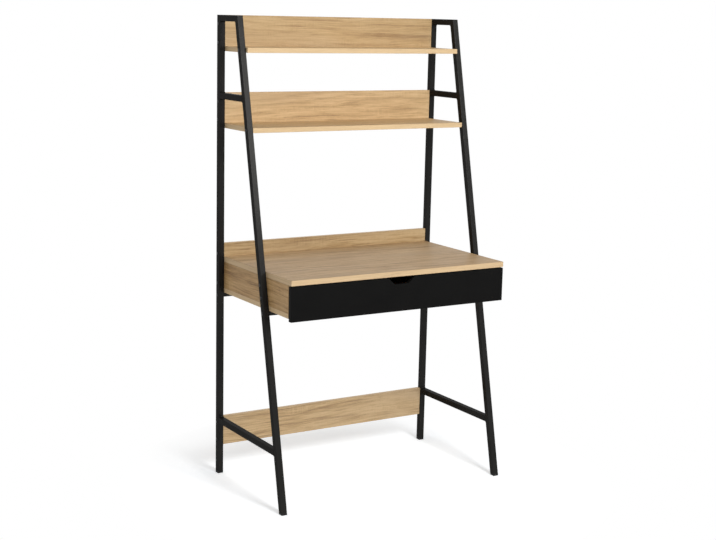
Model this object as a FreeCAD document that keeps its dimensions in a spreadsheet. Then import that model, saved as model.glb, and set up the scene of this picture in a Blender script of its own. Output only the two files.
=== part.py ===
import FreeCAD, Part
import os
from collections import namedtuple

import Sketcher

# Ladder desk: two welded side frames of square tube, each with an upright rear leg and a leaning
# front leg, carry a desk carcass with one drawer, two shelves and a board near the floor.
# Millimetres, +Z up.  x = 0 is the middle, y = 0 is half way between the legs' rear faces and the
# desktop's front edge, and z = 0 is the floor.  The desk is used from -Y.

# ---------------------------------------------------------------------------------------------
# Driving dimensions
# ---------------------------------------------------------------------------------------------

SIZES = [
    ("overall_width", 850, "outer faces of the two side frames"),
    ("overall_height", 1550, "floor to the top of the frames"),
    ("desk_depth", 490, "rear faces of the legs to the desktop's front edge"),
    ("foot_reach", 485, "rear face of the legs to the front leg's front face, at the floor"),
    ("head_reach", 147, "the same at the top of the frame"),
    ("tube_side", 20, "square tube of the side frames"),
    ("tube_wall", 1.2, "wall of the square tubes and the rails"),
    ("tube_radius", 1.5, "outer corner radius of the tubes"),
    ("rail_side", 15, "square tube of the two rails under the desk"),
    ("rail_radius", 1.2, "outer corner radius of the rails"),
    ("stretcher_top", 200, "floor to the top of the lower stretchers and the lower board"),
    ("lower_board_height", 100, "lower back board, bottom edge to top edge"),
    ("foot_flange", 6, "visible height of the plastic feet"),
    ("foot_plug", 15, "length of a foot's plug inside its tube"),
    ("plug_gap", 0.2, "play of the plug in its tube, each side"),
    ("board_thickness", 16, "shelves, back boards and carcass panels"),
    ("board_inset", 2, "rear faces of the legs to the rear faces of the upper boards"),
    ("board_round", 0.8, "softened edges of the laminated boards"),
    ("end_gap", 0.5, "play between a board's end and a leg"),
    ("shelf_spacing", 250, "middle shelf's top face to the top shelf's top face"),
    ("top_shelf_overhang", 11, "front legs' front faces to the top shelf's front edge"),
    ("shelf_back_height", 100, "shelves' top faces to the top edges of their back boards"),
    ("desktop_height", 755, "floor to the desktop's top face"),
    ("desktop_thickness", 18, "desktop board"),
    ("upstand_height", 45, "desktop's top face to the top of the desk's back board"),
    ("carcass_height", 105, "underside of the desk carcass to the desktop's underside"),
    ("front_thickness", 16, "drawer front"),
    ("front_gap", 3, "drawer front's top edge to the desktop's underside"),
    ("front_drop", 9, "how far the drawer front hangs below the carcass"),
    ("face_gap", 2, "drawer front's rear face to the carcass edges"),
    ("front_round", 1.5, "softened edges of the lacquered drawer front"),
    ("notch_mouth", 100, "width of the finger notch at the drawer front's top edge"),
    ("notch_base", 52, "width of the finger notch at its bottom"),
    ("notch_depth", 22, "depth of the finger notch"),
    ("notch_radius", 14, "bottom corners of the finger notch"),
    ("drawer_length", 400, "drawer sides, behind the drawer front"),
    ("drawer_side_thickness", 12, "drawer sides and back"),
    ("drawer_side_gap", 15, "top edges of the drawer sides to the desktop's underside"),
    ("drawer_lift", 8, "carcass floor to the lower edges of the drawer sides"),
    ("sheet_thickness", 3, "drawer bottom"),
    ("sheet_lift", 8, "lower edges of the drawer sides to the drawer bottom"),
    ("groove_depth", 5, "groove for the drawer bottom"),
    ("groove_play", 0.2, "play of the drawer bottom in its groove, each way"),
    ("runner_space", 12.5, "gap for the runners on each side of the drawer"),
    ("runner_gauge", 1.2, "sheet steel of the runners"),
    ("runner_length", 400, "cabinet runner"),
    ("runner_setback", 2, "carcass front edge to the cabinet runner, and drawer front to its runner"),
    ("runner_lift", 3, "carcass floor to the cabinet runner"),
    ("channel_width", 9.5, "cabinet runner, across its floor and lip"),
    ("flange_reach", 10, "drawer runner's flange, out from the drawer side"),
    ("ledge_width", 10, "drawer runner's ledge, in under the drawer side"),
    ("lip_gap", 0.8, "drawer runner's flange to the cabinet runner's lip"),
    ("running_gap", 0.3, "rollers to the tracks beside them"),
    ("roller_diameter", 15, "runner rollers"),
    ("roller_width", 7, "runner rollers"),
    ("roller_setback", 10, "end of a runner to the axis of its roller"),
    ("roller_offset", 0.6, "runner's web to its roller"),
    ("runner_screw_front", 30, "runner's front end to its first screw"),
    ("runner_screw_rear", 40, "runner's rear end to its last screw"),
    ("pin_diameter", 4, "rivets that the rollers turn on"),
    ("pin_play", 0.05, "radial play of a roller on its rivet"),
    ("pin_head_diameter", 6.5, "rivet heads"),
    ("pin_head_height", 0.7, "rivet heads"),
    ("drawer_travel", 300, "how far the drawer pulls out"),
    ("stop_height", 3.5, "stop on the cabinet runner's floor"),
    ("bolt_diameter", 6, "bolts and screws through the legs"),
    ("bolt_play", 0.25, "radial play of a bolt in a leg"),
    ("bolt_head_diameter", 10, "low button heads on the outer faces of the legs"),
    ("bolt_head_height", 1.6, "low button heads"),
    ("bolt_head_round", 0.8, "rounding of the low button heads"),
    ("socket_radius", 2.3, "hexagon socket, centre to corner"),
    ("socket_depth", 2, "hexagon socket"),
    ("board_screw_depth", 30, "length of a leg screw inside a board's end"),
    ("thread_depth", 12, "length of a leg bolt inside an insert or an end nut"),
    ("bolt_spread", 60, "spacing of the two screws in the end of a narrow back board"),
    ("desk_bolt_spread", 100, "spacing of the two screws in the end of the desk's back board"),
    ("side_bolt_spread", 40, "spacing of the two bolts in a carcass side"),
    ("insert_diameter", 10, "threaded inserts in the carcass sides"),
    ("insert_length", 13, "threaded inserts"),
    ("end_nut_length", 14, "threaded blocks in the ends of the rails"),
    ("bore_play", 0.05, "radial play of screws, dowels and cams in their bores"),
    ("screw_diameter", 4, "wood screws"),
    ("screw_head_diameter", 8, "wood screws"),
    ("screw_head_height", 2.5, "wood screws"),
    ("long_screw", 50, "wood screws through one board into the edge of another"),
    ("rail_screw", 28, "wood screws through the rails into the carcass bottom"),
    ("short_screw", 13, "wood screws that hold the cabinet runners"),
    ("tiny_screw", 10, "wood screws that hold the drawer runners"),
    ("drawer_screw", 36, "wood screws through the drawer sides into the drawer back"),
    ("flat_head_diameter", 6.5, "heads of the runner screws"),
    ("flat_head_height", 1, "heads of the runner screws"),
    ("screw_margin", 52, "board's edge to the first screw of a row"),
    ("screw_row", 300, "middle of the desk to the outer screws of a row along it"),
    ("dowel_diameter", 8, "wooden dowels"),
    ("dowel_length", 30, "wooden dowels"),
    ("dowel_depth", 10, "length of a dowel in the face of a board"),
    ("bottom_dowel_row", 200, "middle of the desk to the dowels behind the carcass bottom"),
    ("dowel_margin", 35, "carcass side's ends to its upright dowels"),
    ("cam_diameter", 15, "cam locks in the carcass sides"),
    ("cam_depth", 12, "cam locks in the carcass sides"),
    ("cam_distance", 24, "board's edge to the axis of a cam"),
    ("cam_margin", 75, "carcass side's ends to its cams"),
    ("cam_bolt_diameter", 6, "cam bolts"),
    ("drawer_cam_depth", 9, "cam locks in the drawer sides"),
    ("drawer_cam_drop", 26, "drawer side's top edge to its cam"),
    ("drawer_dowel_drop", 11, "drawer side's top edge to its dowel"),
    ("drawer_dowel_diameter", 6, "dowels between the drawer sides and front"),
    ("drawer_screw_spread", 30, "spacing of the two screws in a drawer side's rear end"),
    ("bumper_diameter", 8, "soft buttons behind the drawer front"),
]

doc = FreeCAD.newDocument("LadderDesk")
sheet = doc.addObject("Spreadsheet::Sheet", "Size")
for row, (alias, value, note) in enumerate(SIZES, start=1):
    sheet.set(f"A{row}", alias)
    sheet.set(f"B{row}", str(value))
    sheet.setAlias(f"B{row}", alias)
    sheet.set(f"C{row}", note)
doc.recompute()

# ---------------------------------------------------------------------------------------------
# Places that several pieces share, as expressions of the sheet's cells
# ---------------------------------------------------------------------------------------------


def mean(low, high):
    """The middle of two lengths."""
    return f"(({low}) + ({high})) / 2"


def forward(depth):
    """The y of a point that lies this far in front of the legs' rear faces."""
    return f"(Size.desk_depth / 2 - ({depth}))"


OUTER_X = "(Size.overall_width / 2)"
LEG_X = f"({OUTER_X} - Size.tube_side / 2)"
INNER_X = f"({OUTER_X} - Size.tube_side)"
END_X = f"({INNER_X} - Size.end_gap)"

REAR_Y = forward("0")
LEG_Y = forward("Size.tube_side / 2")
BOARD_REAR_Y = forward("Size.board_inset")
BOARD_FACE_Y = forward("Size.board_inset + Size.board_thickness")
DESK_FRONT_Y = forward("Size.desk_depth")
FRONT_REAR_Y = forward("Size.desk_depth - Size.front_thickness")
CARCASS_FRONT_Y = forward("Size.desk_depth - Size.front_thickness - Size.face_gap")

LEAN = "((Size.foot_reach - Size.head_reach) / Size.overall_height)"
STRETCH = f"sqrt(1 + {LEAN} ^ 2)"

TOP_SHELF_Z = "(Size.overall_height - Size.shelf_back_height)"
TOP_SHELF_BASE_Z = f"({TOP_SHELF_Z} - Size.board_thickness)"
MIDDLE_SHELF_Z = f"({TOP_SHELF_Z} - Size.shelf_spacing)"
MIDDLE_SHELF_BASE_Z = f"({MIDDLE_SHELF_Z} - Size.board_thickness)"
UPPER_RUNG_Z = f"({MIDDLE_SHELF_Z} + Size.shelf_back_height)"
DESKTOP_BASE_Z = "(Size.desktop_height - Size.desktop_thickness)"
DESK_BACK_TOP_Z = "(Size.desktop_height + Size.upstand_height)"
CARCASS_BASE_Z = f"({DESKTOP_BASE_Z} - Size.carcass_height)"
CARCASS_FLOOR_Z = f"({CARCASS_BASE_Z} + Size.board_thickness)"
RAIL_BASE_Z = f"({CARCASS_BASE_Z} - Size.rail_side)"
RAIL_Z = f"({CARCASS_BASE_Z} - Size.rail_side / 2)"
LOWER_BOARD_BASE_Z = "(Size.stretcher_top - Size.lower_board_height)"


def leg_front(z, inset="0"):
    """The y, at height z, of the leaning leg's front face, or of a line that far inside it."""
    return f"({forward('Size.foot_reach')} + {LEAN} * ({z}) + ({inset}) * {STRETCH})"


def leg_rear(z, inset="0"):
    """The y, at height z, of the leaning leg's rear face, or of a line that far inside it."""
    return leg_front(z, f"Size.tube_side - ({inset})")


def leg_middle(z):
    """The y, at height z, of the leaning leg's axis."""
    return leg_front(z, "Size.tube_side / 2")


# ---------------------------------------------------------------------------------------------
# Building blocks
# ---------------------------------------------------------------------------------------------

nodes = []
TURN_TO = {
    "X": FreeCAD.Rotation(FreeCAD.Vector(0, 1, 0), 90),
    "Y": FreeCAD.Rotation(FreeCAD.Vector(1, 0, 0), -90),
    "Z": FreeCAD.Rotation(),
}
Rod = namedtuple("Rod", "axis x y z length radius")


def piece(shape_object, label):
    """Names a finished sub-part and puts it on the list of files to write."""
    shape_object.Label = label
    nodes.append(shape_object)
    return shape_object


def bind(shape_object, **expressions):
    """Ties properties of an object to expressions."""
    for name, expression in expressions.items():
        shape_object.setExpression(name, expression)


def put(shape_object, x, y, z):
    """Ties an object's place to expressions."""
    shape_object.setExpression("Placement.Base.x", x)
    shape_object.setExpression("Placement.Base.y", y)
    shape_object.setExpression("Placement.Base.z", z)


def new_body(name):
    return doc.addObject("PartDesign::Body", name)


def new_sketch(body, role, name):
    """A sketch on one of the body's own origin planes."""
    sketch = body.newObject("Sketcher::SketchObject", name)
    plane = [feature for feature in body.Origin.OriginFeatures if feature.Role == role][0]
    sketch.AttachmentSupport = [(plane, "")]
    sketch.MapMode = "FlatFace"
    return sketch


def constrain(sketch, kind, *arguments, expression):
    """Adds a dimension to a sketch and ties it to an expression."""
    index = sketch.addConstraint(Sketcher.Constraint(kind, *arguments, 1.0))
    sketch.setExpression(f"Constraints[{index}]", expression)


def outline(sketch, points):
    """A closed outline through points whose coordinates are expressions."""
    first = sketch.GeometryCount
    count = len(points)
    corners = [FreeCAD.Vector(index, (index * index) % count, 0) for index in range(count)]
    for index in range(count):
        following = (index + 1) % count
        sketch.addGeometry(Part.LineSegment(corners[index], corners[following]))
    for index in range(count):
        following = (index + 1) % count
        sketch.addConstraint(
            Sketcher.Constraint("Coincident", first + index, 2, first + following, 1)
        )
    for index, (across, up) in enumerate(points):
        constrain(sketch, "DistanceX", -1, 1, first + index, 1, expression=across)
        constrain(sketch, "DistanceY", -1, 1, first + index, 1, expression=up)


def circles(sketch, centres, radius):
    """Circles of one radius about centres whose coordinates are expressions."""
    for index, (across, up) in enumerate(centres):
        sketch.addGeometry(
            Part.Circle(FreeCAD.Vector(index, index, 0), FreeCAD.Vector(0, 0, 1), 1)
        )
        constrain(sketch, "Radius", index, expression=radius)
        constrain(sketch, "DistanceX", -1, 1, index, 3, expression=across)
        constrain(sketch, "DistanceY", -1, 1, index, 3, expression=up)


def symmetric_pad(body, sketch, length):
    pad = body.newObject("PartDesign::Pad", "Pad")
    pad.Profile = sketch
    pad.SideType = "Symmetric"
    bind(pad, Length=length)
    return pad


def symmetric_pocket(body, sketch, length=None):
    """A pocket to both sides of its sketch: right through when it has no length."""
    pocket = body.newObject("PartDesign::Pocket", "Pocket")
    pocket.Profile = sketch
    pocket.SideType = "Symmetric"
    if length is None:
        pocket.Type = "ThroughAll"
    else:
        bind(pocket, Length=length)
    return pocket


def round_edges(body, feature, radius, wanted):
    """Rounds those straight edges of a feature for which wanted(edge) is true."""
    doc.recompute()
    names = [f"Edge{index}" for index, edge in enumerate(feature.Shape.Edges, start=1) if wanted(edge)]
    fillet = body.newObject("PartDesign::Fillet", "Fillet")
    fillet.Base = (feature, names)
    bind(fillet, Radius=radius)
    return fillet


def along(edge, axis):
    """Whether a straight edge runs along a row axis rather than across it."""
    start, end = [vertex.Point for vertex in edge.Vertexes]
    return abs(getattr(end - start, axis)) > edge.Length / 2


def block(name, x, y, z):
    """A box between pairs of expressions."""
    box = doc.addObject("Part::Box", name)
    bind(
        box,
        Length=f"({x[1]}) - ({x[0]})",
        Width=f"({y[1]}) - ({y[0]})",
        Height=f"({z[1]}) - ({z[0]})",
    )
    put(box, x[0], y[0], z[0])
    return box


def board(name, x, y, z, radius="Size.board_round"):
    """A laminated board between pairs of expressions, with softened edges."""
    body = new_body(name)
    box = body.newObject("PartDesign::AdditiveBox", "Board")
    bind(
        box,
        Length=f"({x[1]}) - ({x[0]})",
        Width=f"({y[1]}) - ({y[0]})",
        Height=f"({z[1]}) - ({z[0]})",
    )
    round_edges(body, box, radius, lambda edge: True)
    put(body, x[0], y[0], z[0])
    return body


def cylinder(rod, play="0"):
    """A cylinder for a rod, wider by the play all round."""
    shaft = doc.addObject("Part::Cylinder", "Shaft")
    shaft.Placement = FreeCAD.Placement(FreeCAD.Vector(), TURN_TO[rod.axis])
    bind(shaft, Radius=f"({rod.radius}) + ({play})", Height=rod.length)
    put(shaft, rod.x, rod.y, rod.z)
    return shaft


def fused(name, shapes):
    fusion = doc.addObject("Part::MultiFuse", name)
    fusion.Shapes = shapes
    return fusion


def cut(name, base, tools):
    """A base with everything in tools taken away."""
    difference = doc.addObject("Part::Cut", name)
    difference.Base = base
    difference.Tool = tools[0] if len(tools) == 1 else fused(name + "Tools", tools)
    return difference


def bores(screws, play="Size.bore_play"):
    """The bores for screws, which are lists of rods."""
    return [cylinder(rod, play) for screw in screws for rod in screw]


def compound(name, shapes):
    group = doc.addObject("Part::Compound", name)
    group.Links = shapes
    return group


def solids(screws):
    """One solid for each screw, which is a list of rods on one axis."""
    made = []
    for screw in screws:
        shafts = [cylinder(rod) for rod in screw]
        made.append(shafts[0] if len(shafts) == 1 else fused("Screw", shafts))
    return made


def mirror(name, source):
    """The same shape on the other side of the desk."""
    twin = doc.addObject("Part::Mirroring", name)
    twin.Source = source
    twin.Normal = FreeCAD.Vector(1, 0, 0)
    return twin


def opposite(screws):
    """Screws mirrored to the other side of the desk."""
    result = []
    for screw in screws:
        twins = []
        for rod in screw:
            reach = rod.length if rod.axis == "X" else "0"
            twins.append(rod._replace(x=f"-({rod.x}) - ({reach})"))
        result.append(twins)
    return result


def both(screws):
    return screws + opposite(screws)


def pair(label, source):
    """A compound of a source and its mirror image, as one node."""
    return piece(compound(label, [source, mirror(label + "Twin", source)]), label)


# ---------------------------------------------------------------------------------------------
# Where the fasteners are: each is a list of rods, (head, shank) or one plain rod
# ---------------------------------------------------------------------------------------------


def leg_screw(y, z, depth):
    """A button-headed screw through a left leg, with this length beyond the leg."""
    shank = Rod("X", f"-{OUTER_X}", y, z, f"Size.tube_side + ({depth})", "Size.bolt_diameter / 2")
    head = Rod(
        "X",
        f"-{OUTER_X} - Size.bolt_head_height",
        y,
        z,
        "Size.bolt_head_height",
        "Size.bolt_head_diameter / 2",
    )
    return [head, shank]


def beside(middle, spread):
    """Two heights on either side of a middle."""
    return [f"({middle}) - {spread} / 2", f"({middle}) + {spread} / 2"]


TOP_BACK_HOLES = beside(mean(TOP_SHELF_BASE_Z, "Size.overall_height"), "Size.bolt_spread")
MIDDLE_BACK_HOLES = beside(mean(MIDDLE_SHELF_BASE_Z, UPPER_RUNG_Z), "Size.bolt_spread")
DESK_BACK_HOLES = beside(mean(CARCASS_BASE_Z, DESK_BACK_TOP_Z), "Size.desk_bolt_spread")
LOWER_BOARD_HOLES = beside("Size.stretcher_top - Size.lower_board_height / 2", "Size.bolt_spread")
CARCASS_SIDE_HOLES = beside(mean(CARCASS_FLOOR_Z, DESKTOP_BASE_Z), "Size.side_bolt_spread")
SHELF_HOLES = [mean(TOP_SHELF_BASE_Z, TOP_SHELF_Z), mean(MIDDLE_SHELF_BASE_Z, MIDDLE_SHELF_Z)]

BACK_BOARD_HOLES = TOP_BACK_HOLES + MIDDLE_BACK_HOLES + DESK_BACK_HOLES + LOWER_BOARD_HOLES
REAR_LEG_HOLES = BACK_BOARD_HOLES + [RAIL_Z]
FRONT_LEG_HOLES = SHELF_HOLES + CARCASS_SIDE_HOLES + [RAIL_Z]


def rear_screws(heights):
    return [leg_screw(LEG_Y, z, "Size.board_screw_depth") for z in heights]


top_shelf_end, middle_shelf_end = [
    [leg_screw(leg_middle(z), z, "Size.board_screw_depth")] for z in SHELF_HOLES
]
top_back_ends = rear_screws(TOP_BACK_HOLES)
middle_back_ends = rear_screws(MIDDLE_BACK_HOLES)
desk_back_ends = rear_screws(DESK_BACK_HOLES)
lower_board_ends = rear_screws(LOWER_BOARD_HOLES)
side_bolts = [leg_screw(leg_middle(z), z, "Size.thread_depth") for z in CARCASS_SIDE_HOLES]
rail_bolts = [leg_screw(y, RAIL_Z, "Size.thread_depth") for y in (LEG_Y, leg_middle(RAIL_Z))]


def rising_screw(x, y, z, length):
    """A wood screw driven upwards, its head flush in a face at height z."""
    shank = Rod("Z", x, y, z, length, "Size.screw_diameter / 2")
    head = Rod("Z", x, y, z, "Size.screw_head_height", "Size.screw_head_diameter / 2")
    return [head, shank]


ROW_X = ["-Size.screw_row", "0", "Size.screw_row"]
BOTTOM_ROW_X = ["-Size.bottom_dowel_row", "Size.bottom_dowel_row"]
SIDE_MIDDLE_X = f"(-{END_X} + Size.board_thickness / 2)"


def from_rear(margin):
    """The y of a place this far from a carcass side's rear end."""
    return f"({BOARD_FACE_Y} - ({margin}))"


def from_front(margin):
    """The y of a place this far from a carcass side's front end."""
    return f"({CARCASS_FRONT_Y} + ({margin}))"


front_rail_rise = [
    rising_screw(x, leg_middle(RAIL_Z), RAIL_BASE_Z, "Size.rail_screw") for x in ROW_X
]
rear_rail_rise = [rising_screw(x, LEG_Y, RAIL_BASE_Z, "Size.rail_screw") for x in ROW_X]
carcass_rise = [
    rising_screw(SIDE_MIDDLE_X, y, CARCASS_BASE_Z, "Size.long_screw")
    for y in (
        from_rear("Size.screw_margin"),
        mean(BOARD_FACE_Y, CARCASS_FRONT_Y),
        from_front("Size.screw_margin"),
    )
]

upright_dowels = [
    [
        Rod(
            "Z",
            SIDE_MIDDLE_X,
            y,
            f"{DESKTOP_BASE_Z} + Size.dowel_depth - Size.dowel_length",
            "Size.dowel_length",
            "Size.dowel_diameter / 2",
        )
    ]
    for y in (from_rear("Size.dowel_margin"), from_front("Size.dowel_margin"))
]


def level_dowel(x, z):
    """A dowel along Y that joins a level board to the back board behind it."""
    start = f"{BOARD_FACE_Y} + Size.dowel_depth - Size.dowel_length"
    return [Rod("Y", x, start, z, "Size.dowel_length", "Size.dowel_diameter / 2")]


side_dowels = [level_dowel(SIDE_MIDDLE_X, mean(CARCASS_FLOOR_Z, DESKTOP_BASE_Z))]
top_shelf_dowels, middle_shelf_dowels = [[level_dowel(x, z) for x in ROW_X] for z in SHELF_HOLES]
desktop_dowels = [level_dowel(x, mean(DESKTOP_BASE_Z, "Size.desktop_height")) for x in ROW_X]
bottom_dowels = [level_dowel(x, mean(CARCASS_BASE_Z, CARCASS_FLOOR_Z)) for x in BOTTOM_ROW_X]

CAM_YS = [from_rear("Size.cam_margin"), from_front("Size.cam_margin")]
CAM_Z = f"({DESKTOP_BASE_Z} - Size.cam_distance)"
SIDE_INNER_X = f"(-{END_X} + Size.board_thickness)"
cams = [
    [Rod("X", f"{SIDE_INNER_X} - Size.cam_depth", y, CAM_Z, "Size.cam_depth", "Size.cam_diameter / 2")]
    for y in CAM_YS
]
cam_bolts = [
    [
        Rod(
            "Z",
            SIDE_MIDDLE_X,
            y,
            CAM_Z,
            "Size.cam_distance + Size.dowel_depth",
            "Size.cam_bolt_diameter / 2",
        )
    ]
    for y in CAM_YS
]
inserts = [
    [Rod("X", f"-{END_X}", leg_middle(z), z, "Size.insert_length", "Size.insert_diameter / 2")]
    for z in CARCASS_SIDE_HOLES
]

# ---------------------------------------------------------------------------------------------
# Side frames: mitred at the top, with a short crosspiece above the middle shelf and a low stretcher
# ---------------------------------------------------------------------------------------------


def tube(label, x, outer, inner, holes=()):
    """A square tube whose side view is the outer outline and whose hollow is the inner one."""
    body = new_body(label)
    shape = new_sketch(body, "YZ_Plane", "Outline")
    outline(shape, outer)
    pad = symmetric_pad(body, shape, "Size.tube_side")
    longest_end = 2 * sheet.tube_side
    round_edges(body, pad, "Size.tube_radius", lambda edge: edge.Length > longest_end)
    hollow = new_sketch(body, "YZ_Plane", "Hollow")
    outline(hollow, inner)
    symmetric_pocket(body, hollow, "Size.tube_side - 2 * Size.tube_wall")
    if holes:
        drilling = new_sketch(body, "YZ_Plane", "Holes")
        circles(drilling, holes, "Size.bolt_diameter / 2 + Size.bolt_play")
        symmetric_pocket(body, drilling)
    put(body, x, "0", "0")
    return piece(body, label)


def rear_leg_outline(inset):
    front = forward(f"Size.tube_side - ({inset})")
    rear = forward(inset)
    return [
        (rear, "Size.foot_flange"),
        (rear, f"Size.overall_height - ({inset})"),
        (front, f"Size.overall_height - Size.tube_side + ({inset})"),
        (front, "Size.foot_flange"),
    ]


def front_leg_outline(inset):
    high = f"Size.overall_height - ({inset})"
    low = f"Size.overall_height - Size.tube_side + ({inset})"
    foot = "Size.foot_flange"
    return [
        (leg_front(foot, inset), foot),
        (leg_front(high, inset), high),
        (leg_rear(low, inset), low),
        (leg_rear(foot, inset), foot),
    ]


def top_crosspiece_outline(inset):
    high = f"Size.overall_height - ({inset})"
    low = f"Size.overall_height - Size.tube_side + ({inset})"
    return [
        (forward(inset), high),
        (forward(f"Size.tube_side - ({inset})"), low),
        (leg_rear(low, inset), low),
        (leg_front(high, inset), high),
    ]


def rung_outline(top, inset):
    """A rung that butts against both legs, with this height for its top face."""
    high = f"{top} - ({inset})"
    low = f"{top} - Size.tube_side + ({inset})"
    rear = forward("Size.tube_side")
    return [(rear, low), (rear, high), (leg_rear(high), high), (leg_rear(low), low)]


def side_frame(side, x):
    wall = "Size.tube_wall"
    tube(
        f"{side}_rear_leg",
        x,
        rear_leg_outline("0"),
        rear_leg_outline(wall),
        [(LEG_Y, z) for z in REAR_LEG_HOLES],
    )
    tube(
        f"{side}_front_leg",
        x,
        front_leg_outline("0"),
        front_leg_outline(wall),
        [(leg_middle(z), z) for z in FRONT_LEG_HOLES],
    )
    tube(f"{side}_top_crosspiece", x, top_crosspiece_outline("0"), top_crosspiece_outline(wall))
    for label, top in (("upper_crosspiece", UPPER_RUNG_Z), ("lower_stretcher", "Size.stretcher_top")):
        tube(f"{side}_{label}", x, rung_outline(top, "0"), rung_outline(top, wall))


def leg_slice(front, rear, low, high, inset):
    """The side view of a leg, or of the space inside it, between two heights."""
    return [
        (front(low, inset), low),
        (front(high, inset), high),
        (rear(high, inset), high),
        (rear(low, inset), low),
    ]


def foot(label, x, front, rear):
    """A plastic foot: a flange that carries the tube on, and a plug inside the tube.

    front and rear give the y of the leg's faces for a height and an inset.
    """
    body = new_body(label)
    flange = new_sketch(body, "YZ_Plane", "Flange")
    top = "Size.foot_flange"
    outline(flange, leg_slice(front, rear, "0", top, "0"))
    pad = symmetric_pad(body, flange, "Size.tube_side")
    round_edges(body, pad, "Size.tube_radius", lambda edge: along(edge, "z"))
    plug = new_sketch(body, "YZ_Plane", "Plug")
    inset = "Size.tube_wall + Size.plug_gap"
    tip = "Size.foot_flange + Size.foot_plug"
    outline(plug, leg_slice(front, rear, top, tip, inset))
    symmetric_pad(body, plug, f"Size.tube_side - 2 * ({inset})")
    put(body, x, "0", "0")
    return piece(body, label)


def upright_front(z, inset):
    return forward(f"Size.tube_side - ({inset})")


def upright_rear(z, inset):
    return forward(inset)


for side, sign in (("left", "-"), ("right", "")):
    leg_x = f"{sign}{LEG_X}"
    side_frame(side, leg_x)
    foot(f"{side}_rear_foot", leg_x, upright_front, upright_rear)
    foot(f"{side}_front_foot", leg_x, leg_front, leg_rear)

# ---------------------------------------------------------------------------------------------
# Rails under the desk, from frame to frame
# ---------------------------------------------------------------------------------------------


def desk_rail(label, y, screws):
    """A square tube along X, bolted between the legs and screwed to the carcass bottom."""
    body = new_body(label + "Tube")
    half = "Size.rail_side / 2"
    shape = new_sketch(body, "YZ_Plane", "Section")
    outline(shape, [(f"-{half}", f"-{half}"), (half, f"-{half}"), (half, half), (f"-{half}", half)])
    pad = symmetric_pad(body, shape, f"2 * {INNER_X}")
    round_edges(body, pad, "Size.rail_radius", lambda edge: along(edge, "x"))
    clear = "(Size.rail_side / 2 - Size.tube_wall)"
    hollow = new_sketch(body, "YZ_Plane", "Hollow")
    outline(
        hollow, [(f"-{clear}", f"-{clear}"), (clear, f"-{clear}"), (clear, clear), (f"-{clear}", clear)]
    )
    symmetric_pocket(body, hollow)
    put(body, "0", y, RAIL_Z)
    return piece(cut(label + "Cut", body, bores(screws)), label)


desk_rail("front_desk_rail", leg_middle(RAIL_Z), front_rail_rise)
desk_rail("rear_desk_rail", LEG_Y, rear_rail_rise)


def end_nut(y):
    """A threaded block in the left end of a rail."""
    half = "(Size.rail_side / 2 - Size.tube_wall)"
    return block(
        "EndNut",
        (f"-{INNER_X}", f"-{INNER_X} + Size.end_nut_length"),
        (f"{y} - {half}", f"{y} + {half}"),
        (f"{RAIL_Z} - {half}", f"{RAIL_Z} + {half}"),
    )


left_nuts = compound("LeftNuts", [end_nut(y) for y in (LEG_Y, leg_middle(RAIL_Z))])
pair("rail_end_nuts", cut("LeftNutsBored", left_nuts, bores(rail_bolts)))

# ---------------------------------------------------------------------------------------------
# Shelves and back boards
# ---------------------------------------------------------------------------------------------

WIDTH = (f"-{END_X}", END_X)
BOARD_Y = (BOARD_FACE_Y, BOARD_REAR_Y)


def drilled_board(label, x, y, z, screws):
    return piece(cut(label + "Cut", board(label + "Board", x, y, z), bores(screws)), label)


drilled_board(
    "top_shelf",
    WIDTH,
    (leg_front(TOP_SHELF_Z, "-Size.top_shelf_overhang"), BOARD_FACE_Y),
    (TOP_SHELF_BASE_Z, TOP_SHELF_Z),
    both(top_shelf_end) + top_shelf_dowels,
)
drilled_board(
    "top_back_board",
    WIDTH,
    BOARD_Y,
    (TOP_SHELF_BASE_Z, "Size.overall_height"),
    both(top_back_ends) + top_shelf_dowels,
)
drilled_board(
    "middle_shelf",
    WIDTH,
    (leg_front(MIDDLE_SHELF_Z), BOARD_FACE_Y),
    (MIDDLE_SHELF_BASE_Z, MIDDLE_SHELF_Z),
    both(middle_shelf_end) + middle_shelf_dowels,
)
drilled_board(
    "middle_back_board",
    WIDTH,
    BOARD_Y,
    (MIDDLE_SHELF_BASE_Z, UPPER_RUNG_Z),
    both(middle_back_ends) + middle_shelf_dowels,
)
drilled_board(
    "lower_back_board",
    WIDTH,
    (forward("Size.board_thickness"), REAR_Y),
    (LOWER_BOARD_BASE_Z, "Size.stretcher_top"),
    both(lower_board_ends),
)

# ---------------------------------------------------------------------------------------------
# Desk carcass
# ---------------------------------------------------------------------------------------------

drilled_board(
    "desktop",
    WIDTH,
    (DESK_FRONT_Y, BOARD_FACE_Y),
    (DESKTOP_BASE_Z, "Size.desktop_height"),
    both(upright_dowels) + both(cam_bolts) + desktop_dowels,
)
drilled_board(
    "desk_back_board",
    WIDTH,
    BOARD_Y,
    (CARCASS_BASE_Z, DESK_BACK_TOP_Z),
    both(desk_back_ends) + both(side_dowels) + desktop_dowels + bottom_dowels + rear_rail_rise,
)
drilled_board(
    "carcass_bottom",
    WIDTH,
    (CARCASS_FRONT_Y, BOARD_FACE_Y),
    (CARCASS_BASE_Z, CARCASS_FLOOR_Z),
    both(carcass_rise) + bottom_dowels + front_rail_rise,
)

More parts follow.
